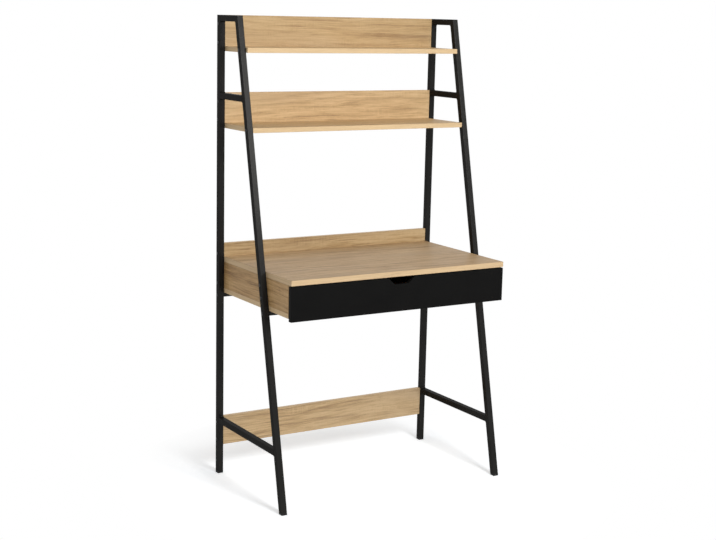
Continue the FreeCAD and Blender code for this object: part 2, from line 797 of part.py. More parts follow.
# Drawer runners.  x is measured from the left carcass side's inner face towards the drawer.
RUNNER_BASE_Z = f"({CARCASS_FLOOR_Z} + Size.runner_lift)"
TRACK_Z = f"({RUNNER_BASE_Z} + Size.runner_gauge)"
ROLLER_Z = f"({TRACK_Z} + Size.running_gap + Size.roller_diameter / 2)"
FLANGE_BASE_Z = f"({ROLLER_Z} + Size.roller_diameter / 2 + Size.running_gap)"
FLANGE_TOP_Z = f"({FLANGE_BASE_Z} + Size.runner_gauge)"
LIP_BASE_Z = f"({FLANGE_TOP_Z} + Size.lip_gap)"
DRAWER_BASE_Z = f"({CARCASS_FLOOR_Z} + Size.drawer_lift)"
CABINET_RUNNER_FRONT_Y = f"({CARCASS_FRONT_Y} + Size.runner_setback)"
CABINET_RUNNER_REAR_Y = f"({CABINET_RUNNER_FRONT_Y} + Size.runner_length)"
DRAWER_RUNNER_FRONT_Y = f"({FRONT_REAR_Y} + Size.runner_setback)"
DRAWER_REAR_Y = f"({FRONT_REAR_Y} + Size.drawer_length)"
FRONT_ROLLER_Y = f"({CABINET_RUNNER_FRONT_Y} + Size.roller_setback)"
REAR_ROLLER_Y = f"({DRAWER_REAR_Y} - Size.roller_setback)"


def runner_x(distance):
    return f"({SIDE_INNER_X} + ({distance}))"


DRAWER_SIDE_X = runner_x("Size.runner_space")
DRAWER_WEB_X = runner_x("Size.runner_space - Size.runner_gauge")


def flat_screw(x, y, z, sign, length):
    """A flat-headed wood screw along X whose head bears on a face at x; sign is its direction."""
    if sign < 0:
        shank_x = f"({x}) - ({length})"
        head_x = x
    else:
        shank_x = x
        head_x = f"({x}) - Size.flat_head_height"
    shank = Rod("X", shank_x, y, z, length, "Size.screw_diameter / 2")
    head = Rod("X", head_x, y, z, "Size.flat_head_height", "Size.flat_head_diameter / 2")
    return [head, shank]


def screw_row(front, rear):
    """Three places along a runner, clear of its roller."""
    first = f"({front} + Size.runner_screw_front)"
    last = f"({rear} - Size.runner_screw_rear)"
    return [first, mean(first, last), last]


cabinet_screws = [
    flat_screw(runner_x("Size.runner_gauge"), y, ROLLER_Z, -1, "Size.short_screw")
    for y in screw_row(CABINET_RUNNER_FRONT_Y, CABINET_RUNNER_REAR_Y)
]
drawer_runner_screws = [
    flat_screw(DRAWER_WEB_X, y, ROLLER_Z, 1, "Size.tiny_screw")
    for y in screw_row(DRAWER_RUNNER_FRONT_Y, DRAWER_REAR_Y)
]

left_side = cut(
    "LeftSideCut",
    board(
        "LeftSideBoard",
        (f"-{END_X}", SIDE_INNER_X),
        (CARCASS_FRONT_Y, BOARD_FACE_Y),
        (CARCASS_FLOOR_Z, DESKTOP_BASE_Z),
    ),
    bores(upright_dowels + side_dowels + cams + cam_bolts + inserts + carcass_rise + cabinet_screws),
)
piece(left_side, "left_carcass_side")
piece(mirror("RightSide", left_side), "right_carcass_side")

# ---------------------------------------------------------------------------------------------
# Drawer
# ---------------------------------------------------------------------------------------------

FRONT_TOP_Z = f"({DESKTOP_BASE_Z} - Size.front_gap)"
FRONT_BASE_Z = f"({CARCASS_BASE_Z} - Size.front_drop)"
FRONT_HEIGHT = f"({FRONT_TOP_Z} - {FRONT_BASE_Z})"
SHEET_Z = f"({DRAWER_BASE_Z} + Size.sheet_lift)"
SIDE_TOP_Z = f"({DESKTOP_BASE_Z} - Size.drawer_side_gap)"
DRAWER_INNER_X = f"({DRAWER_SIDE_X} + Size.drawer_side_thickness)"
DRAWER_WALL_X = f"({DRAWER_SIDE_X} + Size.drawer_side_thickness / 2)"
SHEET_EDGE_X = f"({DRAWER_INNER_X} - Size.groove_depth)"

DRAWER_CAM_Z = f"({SIDE_TOP_Z} - Size.drawer_cam_drop)"
drawer_cams = [
    [
        Rod(
            "X",
            f"{DRAWER_INNER_X} - Size.drawer_cam_depth",
            f"{FRONT_REAR_Y} + Size.cam_distance",
            DRAWER_CAM_Z,
            "Size.drawer_cam_depth",
            "Size.cam_diameter / 2",
        )
    ]
]
drawer_cam_bolts = [
    [
        Rod(
            "Y",
            DRAWER_WALL_X,
            f"{FRONT_REAR_Y} - Size.dowel_depth",
            DRAWER_CAM_Z,
            "Size.dowel_depth + Size.cam_distance",
            "Size.cam_bolt_diameter / 2",
        )
    ]
]
drawer_dowels = [
    [
        Rod(
            "Y",
            DRAWER_WALL_X,
            f"{FRONT_REAR_Y} - Size.dowel_depth",
            f"{SIDE_TOP_Z} - Size.drawer_dowel_drop",
            "Size.dowel_length",
            "Size.drawer_dowel_diameter / 2",
        )
    ]
]
BACK_BASE_Z = f"({SHEET_Z} + Size.sheet_thickness)"
DRAWER_BACK_Y = f"({DRAWER_REAR_Y} - Size.drawer_side_thickness)"


def drawer_screw(z):
    """A wood screw through the left drawer side into the drawer back, its head flush."""
    y = f"{DRAWER_REAR_Y} - Size.drawer_side_thickness / 2"
    shank = Rod("X", DRAWER_SIDE_X, y, z, "Size.drawer_screw", "Size.screw_diameter / 2")
    head = Rod("X", DRAWER_SIDE_X, y, z, "Size.screw_head_height", "Size.screw_head_diameter / 2")
    return [head, shank]


drawer_screws = [
    drawer_screw(z) for z in beside(mean(BACK_BASE_Z, SIDE_TOP_Z), "Size.drawer_screw_spread")
]


def drawer_front():
    """The lacquered front, with a finger notch in its top edge and a groove in its rear face."""
    body = new_body("FrontBoard")
    shape = new_sketch(body, "XZ_Plane", "Face")
    mouth = "Size.notch_mouth / 2"
    base = "Size.notch_base / 2"
    notch_z = f"{FRONT_HEIGHT} - Size.notch_depth"
    outline(
        shape,
        [
            (f"-{END_X}", "0"),
            (END_X, "0"),
            (END_X, FRONT_HEIGHT),
            (mouth, FRONT_HEIGHT),
            (base, notch_z),
            (f"-{base}", notch_z),
            (f"-{mouth}", FRONT_HEIGHT),
            (f"-{END_X}", FRONT_HEIGHT),
        ],
    )
    pad = symmetric_pad(body, shape, "Size.front_thickness")

    def at_ends(edge):
        return abs(edge.CenterOfMass.x) > sheet.overall_width / 4

    def at_top(edge):
        return edge.CenterOfMass.z > pad.Shape.BoundBox.ZMax - sheet.notch_depth / 2

    def in_notch_floor(edge):
        return along(edge, "y") and not at_ends(edge) and not at_top(edge)

    def on_faces_or_ends(edge):
        return at_ends(edge) or not along(edge, "y")

    corners = round_edges(body, pad, "Size.notch_radius", in_notch_floor)
    round_edges(body, corners, "Size.front_round", on_faces_or_ends)
    put(body, "0", mean(DESK_FRONT_Y, FRONT_REAR_Y), FRONT_BASE_Z)
    groove = block(
        "FrontGroove",
        (f"{SHEET_EDGE_X} - Size.groove_play", f"-{SHEET_EDGE_X} + Size.groove_play"),
        (f"{FRONT_REAR_Y} - Size.groove_depth - Size.groove_play", FRONT_REAR_Y),
        (f"{SHEET_Z} - Size.groove_play", f"{BACK_BASE_Z} + Size.groove_play"),
    )
    tools = bores(both(drawer_cam_bolts + drawer_dowels)) + [groove]
    return piece(cut("FrontCut", body, tools), "drawer_front")


drawer_front()

side_groove = block(
    "SideGroove",
    (f"{SHEET_EDGE_X} - Size.groove_play", DRAWER_INNER_X),
    (FRONT_REAR_Y, DRAWER_REAR_Y),
    (f"{SHEET_Z} - Size.groove_play", f"{BACK_BASE_Z} + Size.groove_play"),
)
drawer_side = cut(
    "DrawerSideCut",
    board(
        "DrawerSideBoard",
        (DRAWER_SIDE_X, DRAWER_INNER_X),
        (FRONT_REAR_Y, DRAWER_REAR_Y),
        (DRAWER_BASE_Z, SIDE_TOP_Z),
    ),
    bores(drawer_cams + drawer_cam_bolts + drawer_dowels + drawer_screws + drawer_runner_screws)
    + [side_groove],
)
piece(drawer_side, "drawer_left_side")
piece(mirror("DrawerRightSide", drawer_side), "drawer_right_side")
drilled_board(
    "drawer_back",
    (DRAWER_INNER_X, f"-{DRAWER_INNER_X}"),
    (DRAWER_BACK_Y, DRAWER_REAR_Y),
    (BACK_BASE_Z, SIDE_TOP_Z),
    both(drawer_screws),
)
piece(
    block(
        "BottomSheet",
        (SHEET_EDGE_X, f"-{SHEET_EDGE_X}"),
        (f"{FRONT_REAR_Y} - Size.groove_depth", DRAWER_REAR_Y),
        (SHEET_Z, BACK_BASE_Z),
    ),
    "drawer_bottom",
)

# ---------------------------------------------------------------------------------------------
# Runners and their rollers
# ---------------------------------------------------------------------------------------------


def profile(name, points, front, rear):
    """A folded sheet-steel profile along Y, given by (x, z) points."""
    body = new_body(name)
    shape = new_sketch(body, "XZ_Plane", "Section")
    outline(shape, points)
    symmetric_pad(body, shape, f"{rear} - {front}")
    put(body, "0", mean(front, rear), "0")
    return body


def roller_pin(web_x, y, sign):
    """A rivet from a runner's web; sign is the direction in which it stands out of the web."""
    reach = "(Size.runner_gauge + 2 * Size.roller_offset + Size.roller_width)"
    if sign > 0:
        shank_x = web_x
        head_x = f"{web_x} + {reach}"
    else:
        shank_x = f"{web_x} - {reach}"
        head_x = f"{web_x} - {reach} - Size.pin_head_height"
    shank = Rod("X", shank_x, y, ROLLER_Z, reach, "Size.pin_diameter / 2")
    head = Rod("X", head_x, y, ROLLER_Z, "Size.pin_head_height", "Size.pin_head_diameter / 2")
    return [head, shank]


front_pin = roller_pin(SIDE_INNER_X, FRONT_ROLLER_Y, 1)
rear_pin = roller_pin(DRAWER_SIDE_X, REAR_ROLLER_Y, -1)

channel_outer = runner_x("Size.channel_width")
channel_web = runner_x("Size.runner_gauge")
cabinet_profile = profile(
    "CabinetProfile",
    [
        (SIDE_INNER_X, RUNNER_BASE_Z),
        (channel_outer, RUNNER_BASE_Z),
        (channel_outer, TRACK_Z),
        (channel_web, TRACK_Z),
        (channel_web, LIP_BASE_Z),
        (channel_outer, LIP_BASE_Z),
        (channel_outer, f"{LIP_BASE_Z} + Size.runner_gauge"),
        (SIDE_INNER_X, f"{LIP_BASE_Z} + Size.runner_gauge"),
    ],
    CABINET_RUNNER_FRONT_Y,
    CABINET_RUNNER_REAR_Y,
)
stop_rear = f"({REAR_ROLLER_Y} - Size.drawer_travel - Size.roller_diameter / 2 - Size.running_gap)"
stop = block(
    "RunnerStop",
    (channel_web, channel_outer),
    (f"{stop_rear} - Size.runner_gauge", stop_rear),
    (TRACK_Z, f"{TRACK_Z} + Size.stop_height"),
)
stopped_profile = fused("CabinetRunnerStopped", [cabinet_profile, stop])
cabinet_runner = cut("CabinetRunnerCut", stopped_profile, bores(cabinet_screws + [front_pin]))
piece(cabinet_runner, "left_cabinet_runner")
piece(mirror("RightCabinetRunner", cabinet_runner), "right_cabinet_runner")

ledge_inner = runner_x("Size.runner_space + Size.ledge_width")
flange_outer = runner_x("Size.runner_space - Size.flange_reach")
drawer_profile = profile(
    "DrawerProfile",
    [
        (DRAWER_WEB_X, f"{DRAWER_BASE_Z} - Size.runner_gauge"),
        (ledge_inner, f"{DRAWER_BASE_Z} - Size.runner_gauge"),
        (ledge_inner, DRAWER_BASE_Z),
        (DRAWER_SIDE_X, DRAWER_BASE_Z),
        (DRAWER_SIDE_X, FLANGE_TOP_Z),
        (flange_outer, FLANGE_TOP_Z),
        (flange_outer, FLANGE_BASE_Z),
        (DRAWER_WEB_X, FLANGE_BASE_Z),
    ],
    DRAWER_RUNNER_FRONT_Y,
    DRAWER_REAR_Y,
)
drawer_runner = cut("DrawerRunnerCut", drawer_profile, bores(drawer_runner_screws + [rear_pin]))
piece(drawer_runner, "left_drawer_runner")
piece(mirror("RightDrawerRunner", drawer_runner), "right_drawer_runner")


def roller(name, x, y):
    """A roller on its rivet, with its bore along X."""
    wheel = Rod("X", x, y, ROLLER_Z, "Size.roller_width", "Size.roller_diameter / 2")
    axle = wheel._replace(radius="Size.pin_diameter / 2")
    return cut(name, cylinder(wheel), [cylinder(axle, "Size.pin_play")])


front_roller = roller("FrontRoller", runner_x("Size.runner_gauge + Size.roller_offset"), FRONT_ROLLER_Y)
rear_roller = roller("RearRoller", f"{DRAWER_WEB_X} - Size.roller_offset - Size.roller_width", REAR_ROLLER_Y)
piece(front_roller, "left_front_roller")
piece(mirror("RightFrontRoller", front_roller), "right_front_roller")
piece(rear_roller, "left_rear_roller")
piece(mirror("RightRearRoller", rear_roller), "right_rear_roller")
pair("cabinet_roller_pins", solids([front_pin])[0])
pair("drawer_roller_pins", solids([rear_pin])[0])

# ---------------------------------------------------------------------------------------------
# Fasteners, grouped by kind
# ---------------------------------------------------------------------------------------------


def socket_screw(screw):
    """A button-headed screw with a hexagon socket, along X."""
    head, shank = screw
    body = new_body("ButtonHead")
    disc = body.newObject("PartDesign::AdditiveCylinder", "Disc")
    bind(disc, Radius=head.radius, Height=head.length)
    doc.recompute()
    rim = [
        f"Edge{index}"
        for index, edge in enumerate(disc.Shape.Edges, start=1)
        if edge.Closed and edge.CenterOfMass.z < sheet.bolt_head_height / 2
    ]
    fillet = body.newObject("PartDesign::Fillet", "Fillet")
    fillet.Base = (disc, rim)
    bind(fillet, Radius="Size.bolt_head_round")
    body.Placement = FreeCAD.Placement(FreeCAD.Vector(), TURN_TO["X"])
    put(body, head.x, head.y, head.z)
    socket = doc.addObject("Part::Prism", "Socket")
    socket.Polygon = 6
    socket.Placement = FreeCAD.Placement(FreeCAD.Vector(), TURN_TO["X"])
    bind(socket, Circumradius="Size.socket_radius", Height="Size.socket_depth")
    put(socket, head.x, head.y, head.z)
    return cut("SocketScrew", fused("Bolt", [body, cylinder(shank)]), [socket])


def socket_group(label, screws):
    pair(label, compound(label + "Left", [socket_screw(screw) for screw in screws]))


def paired_group(label, screws):
    pair(label, compound(label + "Left", solids(screws)))


shelf_ends = top_shelf_end + middle_shelf_end
back_board_ends = top_back_ends + middle_back_ends + desk_back_ends + lower_board_ends
socket_group("board_screws", shelf_ends + back_board_ends)
socket_group("frame_bolts", side_bolts + rail_bolts)
pair("side_inserts", cut("LeftInserts", compound("InsertBlanks", solids(inserts)), bores(side_bolts)))
piece(compound("RailScrews", solids(front_rail_rise + rear_rail_rise)), "rail_screws")
paired_group("carcass_screws", carcass_rise)
pair("cam_locks", cut("LeftCams", compound("CamBlanks", solids(cams)), bores(cam_bolts)))
paired_group("cam_bolts", cam_bolts)
dowels = both(upright_dowels + side_dowels) + desktop_dowels + bottom_dowels
dowels += top_shelf_dowels + middle_shelf_dowels
piece(compound("Dowels", solids(dowels)), "wood_dowels")
pair("drawer_cams", cut("LeftDrawerCam", solids(drawer_cams)[0], bores(drawer_cam_bolts)))
paired_group("drawer_cam_bolts", drawer_cam_bolts)
paired_group("drawer_dowels", drawer_dowels)
paired_group("drawer_screws", drawer_screws)
paired_group("cabinet_runner_screws", cabinet_screws)
paired_group("drawer_runner_screws", drawer_runner_screws)
bumper = Rod(
    "Y",
    SIDE_MIDDLE_X,
    f"{FRONT_REAR_Y} + Size.running_gap",
    mean(CARCASS_FLOOR_Z, DESKTOP_BASE_Z),
    "Size.face_gap - Size.running_gap",
    "Size.bumper_diameter / 2",
)
paired_group("drawer_bumpers", [[bumper]])

# ---------------------------------------------------------------------------------------------
# Check and write
# ---------------------------------------------------------------------------------------------

doc.recompute()
for item in doc.Objects:
    if "Invalid" in item.State or "Error" in item.State:
        raise RuntimeError(f"{item.Label} did not build: {item.State}")
for node in nodes:
    if node.Shape.isNull() or not node.Shape.isValid() or not node.Shape.Solids:
        raise RuntimeError(f"{node.Label} has no valid solid")

os.makedirs("parts", exist_ok=True)
for node in nodes:
    node.Shape.exportStep(f"parts/{node.Label}.step")
    box = node.Shape.BoundBox
    print(
        f"{node.Label:24s} {len(node.Shape.Solids):3d} solids {node.Shape.Volume:12.1f} mm3"
        f"  x {box.XMin:8.2f} {box.XMax:8.2f}  y {box.YMin:8.2f} {box.YMax:8.2f}"
        f"  z {box.ZMin:8.2f} {box.ZMax:8.2f}"
    )
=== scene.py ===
# %% [markdown]
# # A ladder desk, dressed in Blender
# Two black steel side frames lean like a ladder. Between them hang a desk with one drawer, two
# shelves and a stiffening board near the floor. The solids come from a CAD model and stay as they
# are. This lesson gives them their finishes, adds the weld beads that the CAD model leaves out,
# and sets up a plain studio round the desk.

import math

import bpy
from mathutils import Matrix, Vector


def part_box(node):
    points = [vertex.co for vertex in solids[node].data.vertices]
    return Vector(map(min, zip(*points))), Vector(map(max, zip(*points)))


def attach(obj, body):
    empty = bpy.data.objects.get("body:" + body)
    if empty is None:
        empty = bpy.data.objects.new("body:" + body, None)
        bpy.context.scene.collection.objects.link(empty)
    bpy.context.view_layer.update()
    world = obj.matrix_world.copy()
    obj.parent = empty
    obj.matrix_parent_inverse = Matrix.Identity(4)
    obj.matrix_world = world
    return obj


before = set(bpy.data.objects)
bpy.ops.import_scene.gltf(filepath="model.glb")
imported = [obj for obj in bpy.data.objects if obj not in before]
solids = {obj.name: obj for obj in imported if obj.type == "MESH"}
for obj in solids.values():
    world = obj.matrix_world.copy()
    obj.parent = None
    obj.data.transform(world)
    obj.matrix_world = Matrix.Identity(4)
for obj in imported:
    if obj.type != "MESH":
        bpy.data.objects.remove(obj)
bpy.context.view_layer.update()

# %% [markdown]
# ## Camera
# The desk is seen from the front left, at eye height, from more than four metres away with a short
# telephoto lens, so that the upright legs stay nearly upright. A camera could be aimed with a
# Track To constraint. Here it is turned in three plain steps instead: towards the desk, down a
# little, and level.

# %% Camera
STAND_POINT = Vector((-2.4134, -3.9233, 1.5708))
DESK_MIDDLE = Vector((0, 0, 0.75))
TURN = math.radians(31.415)
TIP = math.radians(-10.516)
LEVEL = math.radians(1.285)
QUARTER_TURN = math.radians(90)
SENSOR_WIDTH = 36
LENS = 70.05

camera_data = bpy.data.cameras.new("studio_camera")
camera_data.sensor_width = SENSOR_WIDTH
camera_data.lens = LENS
camera = bpy.data.objects.new("studio_camera", camera_data)
bpy.context.scene.collection.objects.link(camera)
facing = Matrix.Rotation(-TURN, 4, "Z") @ Matrix.Rotation(QUARTER_TURN + TIP, 4, "X")
facing = facing @ Matrix.Rotation(LEVEL, 4, "Z")
camera.matrix_world = Matrix.Translation(STAND_POINT) @ facing
bpy.context.scene.camera = camera
print("camera", round((STAND_POINT - DESK_MIDDLE).length, 2), "m from the desk")

# %% [markdown]
# ## Small tools for materials
# A finish here is a tree of shader nodes. It could be wired by hand in the Shader Editor. The same
# few steps come back in every tree, so short helpers add a node, give it its values or links, and
# hand back its first output.

# %% Nodes
UNSCALED = 1.0


def node(tree, kind, values=(), **settings):
    """A new node: settings are its own properties, values its inputs in order (None skips one)."""
    made = tree.nodes.new(kind)
    for name, value in settings.items():
        setattr(made, name, value)
    for socket, value in zip(made.inputs, values):
        if isinstance(value, bpy.types.NodeSocket):
            tree.links.new(value, socket)
        elif value is not None:
            socket.default_value = value
    return made.outputs[0]


def sums(tree, operation, *values):
    """A Math node."""
    return node(tree, "ShaderNodeMath", values, operation=operation)


def noise(tree, place, stretch, detail=2.0, roughness=0.5):
    """Noise between 0 and 1; stretch is how many times a metre it varies along each axis."""
    stretched = node(tree, "ShaderNodeVectorMath", (place, stretch), operation="MULTIPLY")
    return node(tree, "ShaderNodeTexNoise", (stretched, None, UNSCALED, detail, roughness))


def even_noise(tree, place, scale, detail=2.0):
    """Noise that varies alike along all three axes."""
    return noise(tree, place, (scale, scale, scale), detail)


print("node and noise helpers ready")

# %% Ramps and blends
HALFWAY = 0.5
FACTOR, UNDER, OVER, BLENDED = 0, 6, 7, 2


def ramp(tree, value, stops):
    """Colours, or greys, along a value from 0 to 1."""
    out = node(tree, "ShaderNodeValToRGB", (value,))
    band = out.node.color_ramp
    while len(band.elements) < len(stops):
        band.elements.new(HALFWAY)
    for element, (stop, colour) in zip(band.elements, stops):
        rgb = colour if isinstance(colour, tuple) else (colour, colour, colour)
        element.position = stop
        element.color = (*rgb, 1.0)
    return out


def blend(tree, factor, under, over):
    """One colour laid over another; the numbers are the Mix node's sockets for colours."""
    mixed = tree.nodes.new("ShaderNodeMix")
    mixed.data_type = "RGBA"
    tree.links.new(factor, mixed.inputs[FACTOR])
    tree.links.new(under, mixed.inputs[UNDER])
    mixed.inputs[OVER].default_value = (*over, 1.0)
    return mixed.outputs[BLENDED]


print("ramp and blend ready")

# %% Finishes
RELIEF_DEPTH = 0.0002
NOISE_LOW, NOISE_HIGH = 0.3, 0.7


def finish_named(name, colour, roughness, metallic=0.0, specular=0.5):
    """A new material with one Principled shader; returns it, its tree and that shader."""
    material = bpy.data.materials.new(name)
    material.use_nodes = True
    tree = material.node_tree
    shader = tree.nodes["Principled BSDF"]
    shader.inputs["Base Color"].default_value = (*colour, 1.0)
    shader.inputs["Roughness"].default_value = roughness
    shader.inputs["Metallic"].default_value = metallic
    shader.inputs["Specular IOR Level"].default_value = specular
    return material, tree, shader


def object_place(tree):
    """Where a point lies on the desk, in metres."""
    return tree.nodes.new("ShaderNodeTexCoord").outputs["Object"]


def vary(tree, shader, pattern, dark, pale, spread):
    """A noise moves the colour between two shades, and the roughness round its set value."""
    shade = ramp(tree, pattern, [(NOISE_LOW, dark), (NOISE_HIGH, pale)])
    tree.links.new(shade, shader.inputs["Base Color"])
    smoothest = shader.inputs["Roughness"].default_value - spread / 2
    roughness = sums(tree, "MULTIPLY_ADD", pattern, spread, smoothest)
    tree.links.new(roughness, shader.inputs["Roughness"])


def raise_surface(tree, shader, height, strength):
    """Turns a height into relief a fifth of a millimetre deep."""
    bump = node(tree, "ShaderNodeBump")
    bump.node.inputs["Strength"].default_value = strength
    bump.node.inputs["Distance"].default_value = RELIEF_DEPTH
    tree.links.new(height, bump.node.inputs["Height"])
    tree.links.new(bump, shader.inputs["Normal"])


def dress(piece, material):
    """Gives an object one material."""
    piece.data.materials.clear()
    piece.data.materials.append(material)


print("finish helpers ready")

# %% [markdown]
# ## Oak-look laminate
# The boards are particle board under a printed oak foil, with a strip of the same foil ironed on
# each edge. A picture of oak would need a file and a UV map for each board. A print of noises
# needs neither, and no two boards come out alike. The foil is flat, so the pattern is laid on each
# face as a sheet would be: one coordinate runs along the grain and one across it, chosen by the
# way the face looks. No tree grows dead straight, so a slow noise pushes the second coordinate
# to and fro a little.

# %% The foil's two coordinates
# A noise of the foil is (times a metre along, across, from board to board), detail, roughness.
AXES = "XYZ"
ALONG_SHIFT = 1.37
ACROSS_SHIFT = 0.43
WAVER_NOISE = ((2.4, 6.0, 1.0), 1.5, 0.5)
WAVER = 0.032
SQUARE_ON = 0.7
ROUNDED = 0.985


def centred(tree, value):
    """A noise moved from round a half to round zero."""
    return sums(tree, "SUBTRACT", value, HALFWAY)


def foil_place(tree, grain, thick, seed):
    """The place on the foil, the way across it, and masks for edge strips and rounded corners."""
    coordinates = tree.nodes.new("ShaderNodeTexCoord")
    place = node(tree, "ShaderNodeSeparateXYZ", (coordinates.outputs["Object"],)).node.outputs
    facing = node(tree, "ShaderNodeSeparateXYZ", (coordinates.outputs["Normal"],)).node.outputs
    wide = next(axis for axis in AXES if axis not in (grain, thick))
    at = {axis: place[AXES.index(axis)] for axis in AXES}
    tilt = {axis: sums(tree, "ABSOLUTE", facing[AXES.index(axis)]) for axis in AXES}
    on = {axis: sums(tree, "GREATER_THAN", tilt[axis], SQUARE_ON) for axis in AXES}
    along = node(tree, "ShaderNodeMix", (on[grain], None, at[grain], at[wide]))
    across = node(tree, "ShaderNodeMix", (on[wide], None, at[wide], at[thick]))
    across = node(tree, "ShaderNodeMix", (on[grain], None, across, at[thick]))
    along = sums(tree, "ADD", along, ALONG_SHIFT * seed)
    across = sums(tree, "ADD", across, ACROSS_SHIFT * seed)
    straight = node(tree, "ShaderNodeCombineXYZ", (along, across, float(seed)))
    push = centred(tree, noise(tree, straight, *WAVER_NOISE))
    across = sums(tree, "MULTIPLY_ADD", push, WAVER, across)
    strip = sums(tree, "SUBTRACT", 1.0, on[thick])
    flattest = sums(tree, "MAXIMUM", sums(tree, "MAXIMUM", tilt["X"], tilt["Y"]), tilt["Z"])
    corner = sums(tree, "LESS_THAN", flattest, ROUNDED)
    place_on_foil = node(tree, "ShaderNodeCombineXYZ", (along, across, float(seed)))
    return place_on_foil, across, strip, corner


print("grain runs along the length of a board and of each of its edges")

# %% [markdown]
# ### Growth rings
# A board sawn along the trunk shows long pointed flames, where the saw cuts the rings at a slope.
# Count rings across the board, let a slow noise bend the count, and keep its fractional part: each
# ring then starts pale and ends in a dark line of late wood. Other noises break the lines up.

# %% Growth rings
RINGS_PER_METRE = 38.0
FINE_PER_RING = 3.1
DRIFT, DRIFT_SHARE = ((0.90, 4.4, 1.0), 1.5, 0.45), 7.0
RIPPLE, RIPPLE_SHARE = ((3.2, 26.0, 1.0), 3.0, 0.45), 0.9
JAG, JAG_SHARE = ((22.0, 320.0, 1.0), 2.0, 0.6), 0.25
PATCHES, IN_PATCHES = ((1.5, 15.0, 1.0), 2.0, 0.5), [(0.36, 0.0), (0.62, 1.0)]
BREAKS, BROKEN_UP = ((2.6, 80.0, 1.0), 3.0, 0.5), [(0.38, 0.2), (0.60, 1.0)]
LATE_WOOD = [(0.0, 0.1), (0.30, 0.0), (0.70, 0.75), (0.88, 1.0), (0.96, 0.15), (1.0, 0.1)]
FINE_LINES = [(0.0, 0.1), (0.55, 0.0), (0.85, 1.0), (1.0, 0.1)]


def growth_rings(tree, place, across):
    """How dark the late wood is, in the broad rings and in the fine ones between them."""
    ripple = noise(tree, place, *RIPPLE)
    count = sums(tree, "MULTIPLY", across, RINGS_PER_METRE)
    count = sums(tree, "MULTIPLY_ADD", noise(tree, place, *DRIFT), DRIFT_SHARE, count)
    count = sums(tree, "MULTIPLY_ADD", ripple, RIPPLE_SHARE, count)
    count = sums(tree, "MULTIPLY_ADD", noise(tree, place, *JAG), JAG_SHARE, count)
    late = ramp(tree, sums(tree, "FRACT", count), LATE_WOOD)
    finer = sums(tree, "FRACT", sums(tree, "MULTIPLY_ADD", count, FINE_PER_RING, ripple))
    patches = ramp(tree, noise(tree, place, *PATCHES), IN_PATCHES)
    breaks = ramp(tree, noise(tree, place, *BREAKS), BROKEN_UP)
    flame = sums(tree, "MULTIPLY", sums(tree, "MULTIPLY", late, patches), breaks)
    return flame, sums(tree, "MULTIPLY", ramp(tree, finer, FINE_LINES), breaks)


print("a ring every", round(1000 / RINGS_PER_METRE), "mm")

# %% [markdown]
# ### Streaks, saw marks and pores
# Between the rings the wood goes lighter and darker in streaks of every width, so several
# stretched noises are added up. A coarse saw leaves fine lines across the grain in some patches.
# Pores are short dark scratches that gather in the late wood.

# %% Streaks, saw marks and pores
STREAKS = (
    # a noise, and its share
    (((1.3, 13.0, 1.0), 2.5, 0.45), 0.60),
    (((4.2, 95.0, 1.0), 4.0, 0.60), 0.85),
    (((8.0, 240.0, 1.0), 3.0, 0.60), 1.00),
    (((19.0, 560.0, 1.0), 4.0, 0.70), 0.62),
)
SAW_LINES = ((330.0, 16.0, 1.0), 3.0, 0.7)
SAW_PATCHES, IN_SAW_PATCHES = ((5.0, 24.0, 2.0), 2.0, 0.5), [(0.48, 0.0), (0.60, 1.0)]
PORES, PORE_TIPS = ((95.0, 2100.0, 1.0), 2.0, 0.6), [(0.56, 0.0), (0.68, 1.0)]
PORES_ANYWHERE, PORES_IN_LATE_WOOD = 0.25, 0.6


def streaked(tree, place):
    """Light and dark along the grain, round zero, and the finest noise in it."""
    total = 0.0
    for recipe, share in STREAKS:
        layer = noise(tree, place, *recipe)
        total = sums(tree, "MULTIPLY_ADD", centred(tree, layer), share, total)
    return total, layer


def saw_marked(tree, place):
    """Lines across the grain, round zero, in patches."""
    patches = ramp(tree, noise(tree, place, *SAW_PATCHES), IN_SAW_PATCHES)
    return sums(tree, "MULTIPLY", centred(tree, noise(tree, place, *SAW_LINES)), patches)


def pored(tree, place, flame):
    """Short dark scratches, most of them in the late wood."""
    pores = ramp(tree, noise(tree, place, *PORES), PORE_TIPS)
    crowd = sums(tree, "MULTIPLY_ADD", flame, PORES_IN_LATE_WOOD, PORES_ANYWHERE)
    return sums(tree, "MULTIPLY", pores, crowd)


print(len(STREAKS), "widths of streak")

# %% [markdown]
# ### From lightness to colour
# All of this, and some short dashes, makes one lightness, and a colour ramp turns it into oak
# browns. A colour could come from each pattern by itself, but then their hues would drift apart.
# Some of the brown fades to grey. The ironed-on edge strips are a little paler than the faces, and
# a dark glue line shows where strip and face meet.

# %% Lightness
MIDDLE = 0.60
DASHES, DASH_TIPS = ((16.0, 330.0, 2.0), 3.0, 0.6), [(0.54, 0.0), (0.66, 1.0)]
FLAME_SHARE, FLAME_BALANCE = -0.36, 0.13
DASH_SHARE, HAIR_SHARE, STREAK_SHARE, SAW_SHARE = -0.20, -0.14, 1.0, 0.6


def oak_lightness(tree, place, flame, hair, figure):
    """Rings, dashes, streaks and saw marks as one value; figure is how strong they are."""
    dashes = ramp(tree, noise(tree, place, *DASHES), DASH_TIPS)
    streaks, fibre = streaked(tree, place)
    sawn = saw_marked(tree, place)
    light = sums(tree, "MULTIPLY_ADD", flame, FLAME_SHARE, FLAME_BALANCE)
    light = sums(tree, "MULTIPLY_ADD", dashes, DASH_SHARE, light)
    light = sums(tree, "MULTIPLY_ADD", hair, HAIR_SHARE, light)
    light = sums(tree, "MULTIPLY_ADD", streaks, STREAK_SHARE, light)
    light = sums(tree, "MULTIPLY_ADD", sawn, SAW_SHARE, light)
    return sums(tree, "MULTIPLY_ADD", light, figure, MIDDLE), fibre, sawn


print("late wood darkens by", -FLAME_SHARE)

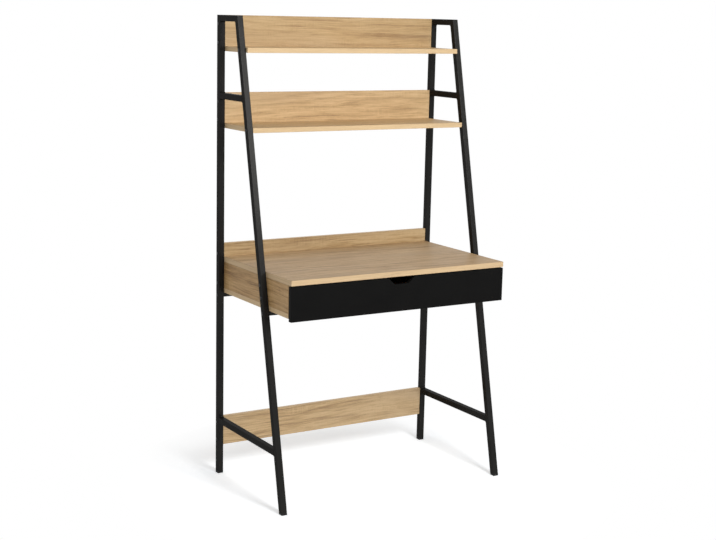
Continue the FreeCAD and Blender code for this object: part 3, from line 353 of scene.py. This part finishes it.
# %% Colour
BROWNS = (
    (0.0, (0.280, 0.160, 0.068)),
    (0.33, (0.440, 0.275, 0.122)),
    (0.60, (0.605, 0.405, 0.192)),
    (1.0, (0.770, 0.555, 0.300)),
)
GREY_BROWN = (0.50, 0.37, 0.235)
GREY_PATCHES, GREY_FROM, GREY_TO, GREYER = ((1.6, 8.0, 4.0), 2.0, 0.5), 0.45, 0.72, 0.35
PORE_BROWN = (0.23, 0.135, 0.065)
STRIP_OAK, STRIP_SHARE = (0.83, 0.61, 0.36), 0.60
GLUE_BROWN, GLUE_SHARE = (0.30, 0.19, 0.10), 0.45


def toned(colour, tone_and_painted_shade):
    """A colour made lighter or darker, for a board's tone and painted shade; one share, or one each
    for red, green and blue.
    """
    shares = tone_and_painted_shade if isinstance(tone_and_painted_shade, tuple) else (tone_and_painted_shade, tone_and_painted_shade, tone_and_painted_shade)
    return tuple(share * part for share, part in zip(shares, colour))


def oak_colour(tree, place, light, tone_and_painted_shade, faded):
    """Browns for the lightness; faded is how far they have gone to grey where they are brownest."""
    # the browns are scaled by the board's tone, which also holds painted shade and painted light
    browns = ramp(tree, light, [(stop, toned(brown, tone_and_painted_shade)) for stop, brown in BROWNS])
    grey_stops = [(GREY_FROM, faded), (GREY_TO, GREYER + faded)]
    grey = ramp(tree, noise(tree, place, *GREY_PATCHES), grey_stops)
    return blend(tree, grey, browns, toned(GREY_BROWN, tone_and_painted_shade))


def edged(tree, colour, strip, corner, tone_and_painted_shade):
    """Paler strips on the edges, and a glue line round them."""
    colour = blend(tree, sums(tree, "MULTIPLY", strip, STRIP_SHARE), colour, STRIP_OAK)
    glue = sums(tree, "MULTIPLY", corner, GLUE_SHARE)
    return blend(tree, glue, colour, toned(GLUE_BROWN, tone_and_painted_shade))


print(len(BROWNS), "browns")

# %% [markdown]
# ### The boards
# The foil is satin, and its fibres, pores and saw marks can be felt, so they move the gloss and the
# relief too. Every board then gets a print of its own. A table says which way its grain runs, which
# way it is thin, how light its oak is, how lively and how grey. How light is partly the oak's own
# tone and partly painted shade and painted light: the desktop and the desk's back board are printed
# darker as painted shade, and the middle back board lighter as painted light.

# %% The boards
OAK, FOIL_ROUGHNESS, FOIL_SPECULAR = (0.58, 0.395, 0.21), 0.5, 0.32
SATIN, FIBRE_DULLNESS, PORE_DULLNESS = 0.43, 0.14, 0.2
FIBRE_HEIGHT, PORE_HEIGHT, SAW_HEIGHT = 0.5, -1.0, 0.5
FOIL_RELIEF = 0.25


def oak_print(name, grain, thick, seed, tone_and_painted_shade, figure, faded):
    """Oak-look foil for one board."""
    material, tree, shader = finish_named(name, OAK, FOIL_ROUGHNESS, specular=FOIL_SPECULAR)
    place, across, strip, corner = foil_place(tree, grain, thick, seed)
    flame, hair = growth_rings(tree, place, across)
    light, fibre, sawn = oak_lightness(tree, place, flame, hair, figure)
    pores = pored(tree, place, flame)
    colour = oak_colour(tree, place, light, tone_and_painted_shade, faded)
    colour = blend(tree, pores, colour, toned(PORE_BROWN, tone_and_painted_shade))
    colour = edged(tree, colour, strip, corner, tone_and_painted_shade)
    tree.links.new(colour, shader.inputs["Base Color"])
    dull = sums(tree, "MULTIPLY_ADD", fibre, FIBRE_DULLNESS, SATIN)
    dull = sums(tree, "MULTIPLY_ADD", pores, PORE_DULLNESS, dull)
    tree.links.new(dull, shader.inputs["Roughness"])
    height = sums(tree, "MULTIPLY", pores, PORE_HEIGHT)
    height = sums(tree, "MULTIPLY_ADD", fibre, FIBRE_HEIGHT, height)
    height = sums(tree, "MULTIPLY_ADD", sawn, SAW_HEIGHT, height)
    raise_surface(tree, shader, height, FOIL_RELIEF)
    return material


BOARDS = {
    # board: grain, thickness, seed, tone with painted shade and painted light, figure, faded
    "top_shelf": ("X", "Z", 3, 1.0, 1.0, 0.0),
    "top_back_board": ("X", "Y", 5, 0.92, 0.85, 0.08),
    "middle_shelf": ("X", "Z", 8, 0.97, 1.2, 0.0),
    # painted light: the middle back board is printed lighter than the other back boards
    "middle_back_board": ("X", "Y", 11, 1.10, 1.15, 0.25),
    # painted shade: the desktop and the desk's back board are printed darker
    "desktop": ("X", "Z", 14, (0.82, 0.80, 0.81), 1.7, 0.1),
    "desk_back_board": ("X", "Y", 17, 0.81, 1.5, 0.0),
    "carcass_bottom": ("X", "Z", 21, 0.98, 1.1, 0.0),
    "left_carcass_side": ("Y", "X", 24, (0.83, 0.75, 0.65), 1.5, 0.0),
    "right_carcass_side": ("Y", "X", 27, (0.83, 0.75, 0.65), 1.5, 0.0),
    "lower_back_board": ("X", "Y", 31, 1.04, 1.8, 0.35),
    "drawer_left_side": ("Y", "X", 33, 0.98, 1.0, 0.0),
    "drawer_right_side": ("Y", "X", 36, 0.98, 1.0, 0.0),
    "drawer_back": ("X", "Y", 39, 0.98, 1.0, 0.0),
    "drawer_bottom": ("X", "Z", 42, 0.94, 0.9, 0.0),
}
for board, recipe in BOARDS.items():
    dress(solids[board], oak_print("oak_print_" + board, *recipe))
print(len(BOARDS), "boards printed")

# %% [markdown]
# ## Powder coat
# The frames are sprayed with black powder and baked. The coat flows into a satin skin with a fine
# orange-peel relief. Seen face on it mirrors a lamp as a soft pale sheen, and it stays dark where
# it is seen askew. Half of the shader is metal with a black base and a dark edge tint, which gives
# that sheen; a plain gloss layer would grow pale towards the edges.

# %% Powder coat on the steel
COAT_BLACK, HALF_METAL = (0.024, 0.0234, 0.0226), 0.5
COAT_DARK, COAT_PALE = (0.0222, 0.0216, 0.0207), (0.0266, 0.0260, 0.0250)
EDGE_TINT = (0.53, 0.53, 0.53, 1.0)
CLOUDS, PEEL, GRIT = 9.0, 700.0, 2600.0
GRIT_SHARE, COAT_RELIEF = 0.4, 0.3
TUBE_ENDINGS = ("_leg", "_crosspiece", "_stretcher", "_desk_rail")

coat, tree, shader = finish_named(
    "black_powder_coat", COAT_BLACK, roughness=0.26, metallic=HALF_METAL, specular=0.0
)
shader.inputs["Specular Tint"].default_value = EDGE_TINT
place = object_place(tree)
peel = even_noise(tree, place, PEEL)
grit = even_noise(tree, place, GRIT, detail=1.0)
clouds = even_noise(tree, place, CLOUDS, detail=3.0)
vary(tree, shader, clouds, COAT_DARK, COAT_PALE, spread=0.08)
raise_surface(tree, shader, sums(tree, "MULTIPLY_ADD", grit, GRIT_SHARE, peel), COAT_RELIEF)
tubes = [name for name in solids if name.endswith(TUBE_ENDINGS)]
for name in tubes:
    dress(solids[name], coat)
print(len(tubes), "tubes coated")

# %% [markdown]
# ## Drawer front
# The front is fibreboard under a matt black skin. It is blacker and duller than the coat on the
# steel. A single black would look like a hole, so a slow noise shades it a little and a very fine
# one gives it tooth.

# %% Drawer front
SKIN_BLACK = (0.0050, 0.0050, 0.0050)
SKIN_DARK, SKIN_PALE = (0.0044, 0.0043, 0.0042), (0.0058, 0.0057, 0.0055)
SHADING, TOOTH, TOOTH_RELIEF = 14.0, 1500.0, 0.12

skin, tree, shader = finish_named("matt_black_front", SKIN_BLACK, roughness=0.6, specular=0.05)
place = object_place(tree)
shading = even_noise(tree, place, SHADING, detail=3.0)
vary(tree, shader, shading, SKIN_DARK, SKIN_PALE, spread=0.10)
raise_surface(tree, shader, even_noise(tree, place, TOOTH), TOOTH_RELIEF)
dress(solids["drawer_front"], skin)
print("drawer front done")

# %% [markdown]
# ## Moulded plastic and rubber
# The feet, the runners' rollers and the drawer's bumpers come out of a mould, whose eroded walls
# leave a fine speckled grain. One recipe makes all three; only colour, gloss and grain differ.

# %% Moulded plastic and rubber
MOULD_SPREAD, MOULD_RELIEF = 0.12, 0.3


def moulded(name, dark, pale, roughness, grain_size, specular=0.4):
    """Plastic with the fine grain of an eroded mould."""
    material, tree, shader = finish_named(name, dark, roughness, specular=specular)
    speckle = even_noise(tree, object_place(tree), grain_size)
    vary(tree, shader, speckle, dark, pale, MOULD_SPREAD)
    raise_surface(tree, shader, speckle, MOULD_RELIEF)
    return material


foot_plastic = moulded(
    "black_foot_plastic",
    dark=(0.012, 0.012, 0.012),
    pale=(0.017, 0.017, 0.017),
    roughness=0.5,
    grain_size=1400.0,
    specular=0.15,
)
nylon = moulded(
    "white_nylon",
    dark=(0.74, 0.73, 0.69),
    pale=(0.84, 0.83, 0.79),
    roughness=0.38,
    grain_size=500.0,
)
rubber = moulded(
    "clear_grey_rubber",
    dark=(0.62, 0.62, 0.60),
    pale=(0.74, 0.74, 0.72),
    roughness=0.45,
    grain_size=900.0,
)
for name, piece in solids.items():
    if name.endswith("_foot"):
        dress(piece, foot_plastic)
    if name.endswith("_roller"):
        dress(piece, nylon)
dress(solids["drawer_bumpers"], rubber)
print("feet, rollers and bumpers done")

# %% [markdown]
# ## Runners and fasteners
# The runners are folded sheet steel under white epoxy. Screws, cams and end nuts are zinc plated,
# and the bolts that show are blackened. All of it is drawn or rolled metal, so one recipe with a
# stretched noise makes the three finishes. The hidden dowels are plain beech.

# %% Coated steel and beech
DRAWN_SPREAD, DRAWN_RELIEF = 0.2, 0.1
BEECH = (0.62, 0.44, 0.27)
BEECH_TONES = [(0.35, (0.56, 0.38, 0.22)), (0.65, (0.70, 0.51, 0.33))]
BEECH_FLECKS, BEECH_RELIEF = ((180.0, 180.0, 60.0), 3.0), 0.2


def plated(name, dark, pale, roughness, metallic, stretch, specular=0.5):
    """Plated or coated steel whose surface varies a little."""
    material, tree, shader = finish_named(name, dark, roughness, metallic, specular)
    drawn = noise(tree, object_place(tree), stretch, detail=3.0, roughness=0.6)
    vary(tree, shader, drawn, dark, pale, DRAWN_SPREAD)
    raise_surface(tree, shader, drawn, DRAWN_RELIEF)
    return material


white_epoxy = plated(
    "white_epoxy_coat",
    dark=(0.72, 0.72, 0.70),
    pale=(0.80, 0.80, 0.78),
    roughness=0.36,
    metallic=0.0,
    stretch=(600, 600, 600),
)
zinc = plated(
    "bright_zinc_plate",
    dark=(0.55, 0.56, 0.58),
    pale=(0.70, 0.71, 0.72),
    roughness=0.34,
    metallic=1.0,
    stretch=(900, 240, 240),
)
black_oxide = plated(
    "black_oxide",
    dark=(0.016, 0.016, 0.018),
    pale=(0.026, 0.026, 0.028),
    roughness=0.42,
    metallic=0.4,
    stretch=(500, 500, 500),
    specular=0.4,
)
beech, tree, shader = finish_named("plain_beech", BEECH, roughness=0.6)
flecks = noise(tree, object_place(tree), *BEECH_FLECKS)
tree.links.new(ramp(tree, flecks, BEECH_TONES), shader.inputs["Base Color"])
raise_surface(tree, shader, flecks, BEECH_RELIEF)
print("epoxy, zinc, black oxide and beech mixed")

# %% Runners and fasteners
ZINC_PLATED = (
    "cabinet_roller_pins",
    "drawer_roller_pins",
    "rail_screws",
    "carcass_screws",
    "cam_locks",
    "cam_bolts",
    "side_inserts",
    "rail_end_nuts",
    "drawer_cams",
    "drawer_cam_bolts",
    "drawer_screws",
    "cabinet_runner_screws",
    "drawer_runner_screws",
)
for name in ZINC_PLATED:
    dress(solids[name], zinc)
for name in ("board_screws", "frame_bolts"):
    dress(solids[name], black_oxide)
for name in ("wood_dowels", "drawer_dowels"):
    dress(solids[name], beech)
for name, piece in solids.items():
    if name.endswith("_runner"):
        dress(piece, white_epoxy)
worn = {piece.material_slots[0].material.name for piece in solids.values()}
print(len(worn), "finishes on", len(solids), "solids")

# %% [markdown]
# ## Weld beads
# A frame like this is welded before it is coated. The joints that show are ground flat, but in the
# corners above and below each crosspiece a small bead stays, and the coat rounds it off. A bead is
# a row of overlapping ripples. It could be a curve with a bevel, but a curve has no ripples. So it
# starts as a thin cylinder across the tube. Bisect cuts it into rings, every second ring is pulled
# in, and the ends are drawn to blunt points. It is then copied to all the corners of a side frame,
# and the copies are joined into one piece.

# %% One bead
BEAD_RADIUS = 0.0023
BEAD_LENGTH = 0.0188
BEAD_SIDES = 12
RING_GAP = 0.0009
RINGS_EACH_WAY = 9
CLOSE_BY = RING_GAP / 4
WAIST = 0.86
BLUNT_END = 0.7


def select_by_place(piece, keep):
    """Selects the vertices of a piece in edit mode whose place passes a test."""
    bpy.ops.mesh.select_all(action="DESELECT")
    bpy.ops.object.mode_set(mode="OBJECT")
    for vertex in piece.data.vertices:
        vertex.select = keep(vertex.co)
    bpy.ops.object.mode_set(mode="EDIT")


bpy.ops.object.select_all(action="DESELECT")
bpy.ops.mesh.primitive_cylinder_add(
    vertices=BEAD_SIDES, radius=BEAD_RADIUS, depth=BEAD_LENGTH, rotation=(0, QUARTER_TURN, 0)
)
bead = bpy.context.object
bead.name = "weld_bead"
bpy.ops.object.transform_apply(location=True, rotation=True, scale=True)
bpy.ops.object.mode_set(mode="EDIT")
rings = [RING_GAP * step for step in range(-RINGS_EACH_WAY, RINGS_EACH_WAY + 1)]
for ring in rings:
    bpy.ops.mesh.select_all(action="SELECT")
    bpy.ops.mesh.bisect(plane_co=(ring, 0, 0), plane_no=(1, 0, 0))
for ring in rings[::2]:
    select_by_place(bead, lambda spot, ring=ring: abs(spot.x - ring) < CLOSE_BY)
    bpy.ops.transform.resize(value=(1, WAIST, WAIST))
select_by_place(bead, lambda spot: abs(spot.x) > BEAD_LENGTH / 2 - CLOSE_BY)
bpy.ops.transform.resize(value=(1, BLUNT_END, BLUNT_END))
bpy.ops.mesh.select_all(action="SELECT")
bpy.ops.mesh.normals_make_consistent(inside=False)
bpy.ops.object.mode_set(mode="OBJECT")
bpy.ops.object.shade_smooth()
print("bead", len(bead.data.polygons), "faces")

# %% [markdown]
# ### Where the beads go
# A rung meets the front face of the rear leg and the rear face of the leaning leg. The CAD frame
# knows how high each rung lies, and the lean gives the place of the leaning leg at that height. A
# bead's axis stands a little way out of the corner, so about half of the bead is buried in the two
# tubes, as a weld's is, and no gap shows round it. The top rung has beads under it only, because
# there is no corner above it.

# %% The corners of a side frame
LEG_FOOT_Y = -0.240  # front face of the leaning leg, at the floor
LEAN = 0.218065  # how far the leg leans back for each metre up
LEG_DEPTH = 0.02047  # of the leaning tube, measured level
REAR_LEG_Y = 0.225  # front face of the rear leg
STAND_OFF = 0.0008
RUNGS = ("lower_stretcher", "upper_crosspiece", "top_crosspiece")

corners = []
for rung in RUNGS:
    low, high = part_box("left_" + rung)
    under, over = (low.z, -STAND_OFF), (high.z, STAND_OFF)
    for height, rise in (under,) if rung == "top_crosspiece" else (under, over):
        leaning_y = LEG_FOOT_Y + LEAN * height + LEG_DEPTH
        corners.append((REAR_LEG_Y - STAND_OFF, height + rise))
        corners.append((leaning_y + STAND_OFF + LEAN * rise, height + rise))
print(len(corners), "corners, the highest at", round(max(height for _, height in corners), 3))

# %% Beads in all the corners
SIDE_MIDDLES = {"left": -0.415, "right": 0.415}

for side, middle_x in SIDE_MIDDLES.items():
    bpy.ops.object.select_all(action="DESELECT")
    copies = []
    for corner_y, corner_z in corners:
        copy = bead.copy()
        copy.data = bead.data.copy()
        bpy.context.scene.collection.objects.link(copy)
        copy.location = (middle_x, corner_y, corner_z)
        copies.append(copy)
    for copy in copies:
        copy.select_set(True)
    welds = copies[0]
    bpy.context.view_layer.objects.active = welds
    bpy.ops.object.join()
    bpy.ops.object.transform_apply(location=True, rotation=True, scale=True)
    welds.name = side + "_frame_welds"
    dress(welds, coat)
    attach(welds, "frame")
    print(welds.name, len(corners), "beads")
bpy.data.objects.remove(bead)

# %% [markdown]
# ## Floor
# A pale floor takes the desk's soft shadows and fades to plain white a little way out. A round
# sheet is enough, since its rim is far outside any view. The camera sees a floor that is lifted
# towards white, so that it meets the background without a line. The rays that light the desk see
# plain pale paint, so the lift puts no extra light on the desk. What the gloss mirrors is the
# floor as the camera sees it.

# %% What the rays see
WHITE = (1.0, 1.0, 1.0, 1.0)


def straight_or_mirrored(tree):
    """1 for what the camera sees itself, in a gloss or through glass, and 0 for other rays."""
    rays = tree.nodes.new("ShaderNodeLightPath").outputs
    mirrored = sums(tree, "MAXIMUM", rays["Is Glossy Ray"], rays["Is Transmission Ray"])
    return sums(tree, "MAXIMUM", rays["Is Camera Ray"], mirrored)


def two_faced(tree, for_light, for_eyes, output):
    """One shader for the rays that light the desk, and another for what is seen."""
    seen = straight_or_mirrored(tree)
    mixed = node(tree, "ShaderNodeMixShader", (seen, for_light, for_eyes))
    tree.links.new(mixed, tree.nodes[output].inputs["Surface"])


print("floor and background can look whiter than they light")

# %% Floor
FLOOR_RADIUS, FLOOR_SIDES = 9.0, 96
FADE_CENTRE = (0.0, -0.05, 0.0)
FADE_FROM, FADE_TO = 0.52, 0.84
PALE_GREY = (0.80, 0.80, 0.80)
SEEN_PAINT, SEEN_LIFT = (0.94, 0.97, 1.0, 1.0), 0.42

bpy.ops.object.select_all(action="DESELECT")
bpy.ops.mesh.primitive_circle_add(
    vertices=FLOOR_SIDES, radius=FLOOR_RADIUS, fill_type="NGON", location=(0, 0, 0)
)
floor = bpy.context.object
floor.name = "studio_floor"
pale, tree, shader = finish_named("pale_floor", PALE_GREY, roughness=0.9, specular=0.0)
away = node(tree, "ShaderNodeVectorMath", (object_place(tree), FADE_CENTRE), operation="DISTANCE")
away = away.node.outputs["Value"]
fade = node(tree, "ShaderNodeMapRange", (away, FADE_FROM, FADE_TO, 0.0, 1.0))
paint = node(tree, "ShaderNodeBsdfDiffuse", (SEEN_PAINT,))
lift = node(tree, "ShaderNodeEmission", (WHITE, SEEN_LIFT))
lifted = node(tree, "ShaderNodeAddShader", (paint, lift))
white = node(tree, "ShaderNodeEmission", (WHITE, 1.0))
faded_out = node(tree, "ShaderNodeMixShader", (fade, lifted, white))
two_faced(tree, shader.outputs[0], faded_out, "Material Output")
dress(floor, pale)
print("floor", tuple(round(side, 1) for side in floor.dimensions))

# %% [markdown]
# ## Background and lamps
# White surroundings fill the shade, a little stronger from the sides than from above. The
# background behind the desk, and what its gloss mirrors, is plain white. A softbox high in front
# gives the boards their light, and throws the legs' shadows straight back. One to the right is
# seen by gloss alone: it puts the sheen on the legs without a second set of shadows. A weak one
# behind keeps the back from going dull. Sun lamps would throw hard shadows, so all three are area
# lamps.

# %% Background
LEVEL_WITH_DESK, OVERHEAD = 0.62, 0.24

world = bpy.data.worlds.new("white_surroundings")
bpy.context.scene.world = world
world.use_nodes = True
tree = world.node_tree
surroundings = tree.nodes["Background"]
surroundings.inputs["Color"].default_value = WHITE
direction = tree.nodes.new("ShaderNodeTexCoord").outputs["Generated"]
upward = node(tree, "ShaderNodeSeparateXYZ", (direction,)).node.outputs["Z"]
strength = node(tree, "ShaderNodeMapRange", (upward, 0.0, 1.0, LEVEL_WITH_DESK, OVERHEAD))
tree.links.new(strength, surroundings.inputs["Strength"])
plain_white = node(tree, "ShaderNodeBackground", (WHITE, 1.0))
two_faced(tree, surroundings.outputs[0], plain_white, "World Output")
bpy.context.scene.view_settings.view_transform = "Standard"
print("surroundings from", LEVEL_WITH_DESK, "to", OVERHEAD)

# %% Lamps


def softbox(name, place, aim, width, height, power):
    """A rectangular area lamp that looks at a point."""
    lamp = bpy.data.lights.new(name, "AREA")
    lamp.shape = "RECTANGLE"
    lamp.size = width
    lamp.size_y = height
    lamp.energy = power
    light = bpy.data.objects.new(name, lamp)
    bpy.context.scene.collection.objects.link(light)
    light.location = place
    light.rotation_euler = (Vector(aim) - Vector(place)).to_track_quat("-Z", "Y").to_euler()
    return light


softbox("front_softbox", (0.05, -3.9, 3.3), (0, 0, 0.7), width=1.0, height=1.5, power=123)
sheen = softbox("sheen_softbox", (2.05, -4.0, 2.6), (0, 0, 0.9), width=1.7, height=1.1, power=38)
sheen.visible_diffuse = False
softbox("rear_softbox", (0.0, 4.6, 1.6), (0, 0, 0.8), width=2.4, height=1.6, power=18)
